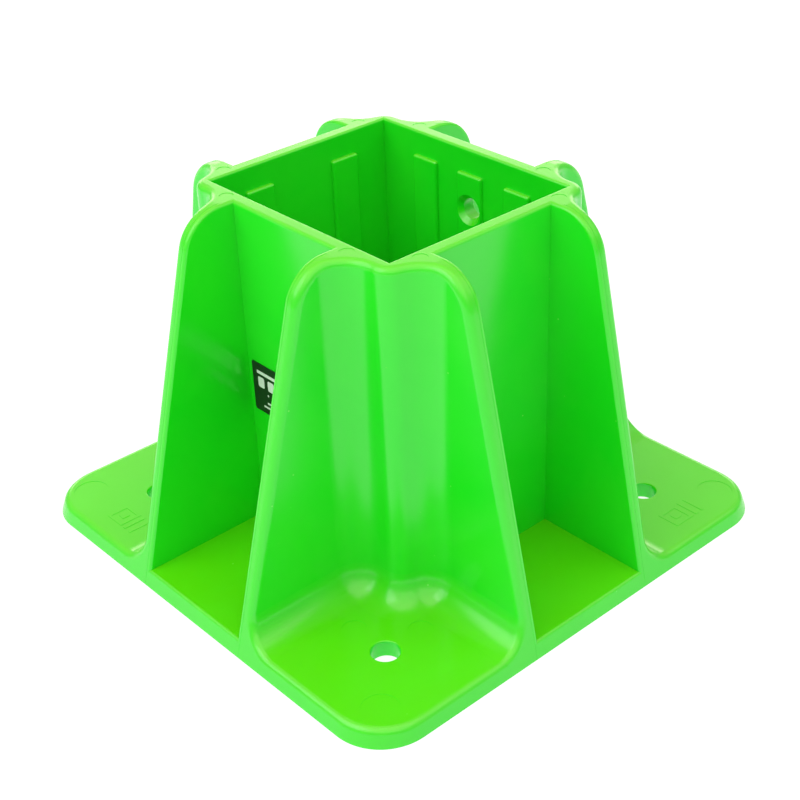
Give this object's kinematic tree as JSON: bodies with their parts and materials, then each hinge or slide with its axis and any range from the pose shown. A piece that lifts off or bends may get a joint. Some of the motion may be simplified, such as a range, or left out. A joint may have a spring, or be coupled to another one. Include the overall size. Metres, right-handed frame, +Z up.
{
  "type": "post base",
  "caption": "Moulded plastic post base: a rectangular socket braced by ribs on a square, round-cornered plate with fixing holes.",
  "frame": {"origin": "centre of the underside of the plate", "axes": "+Z up out of the socket; +X along the longer clear side of the socket; +Y towards the wall with the screw hole"},
  "size_m": [0.1958, 0.1958, 0.1325],
  "materials": {
    "green_polypropylene": "gloss, as moulded in a polished tool",
    "label_film": "satin printed vinyl film"
  },
  "bodies": {
    "root": {"moulded_base": "green_polypropylene", "label": "label_film"}
  },
  "joints": []
}
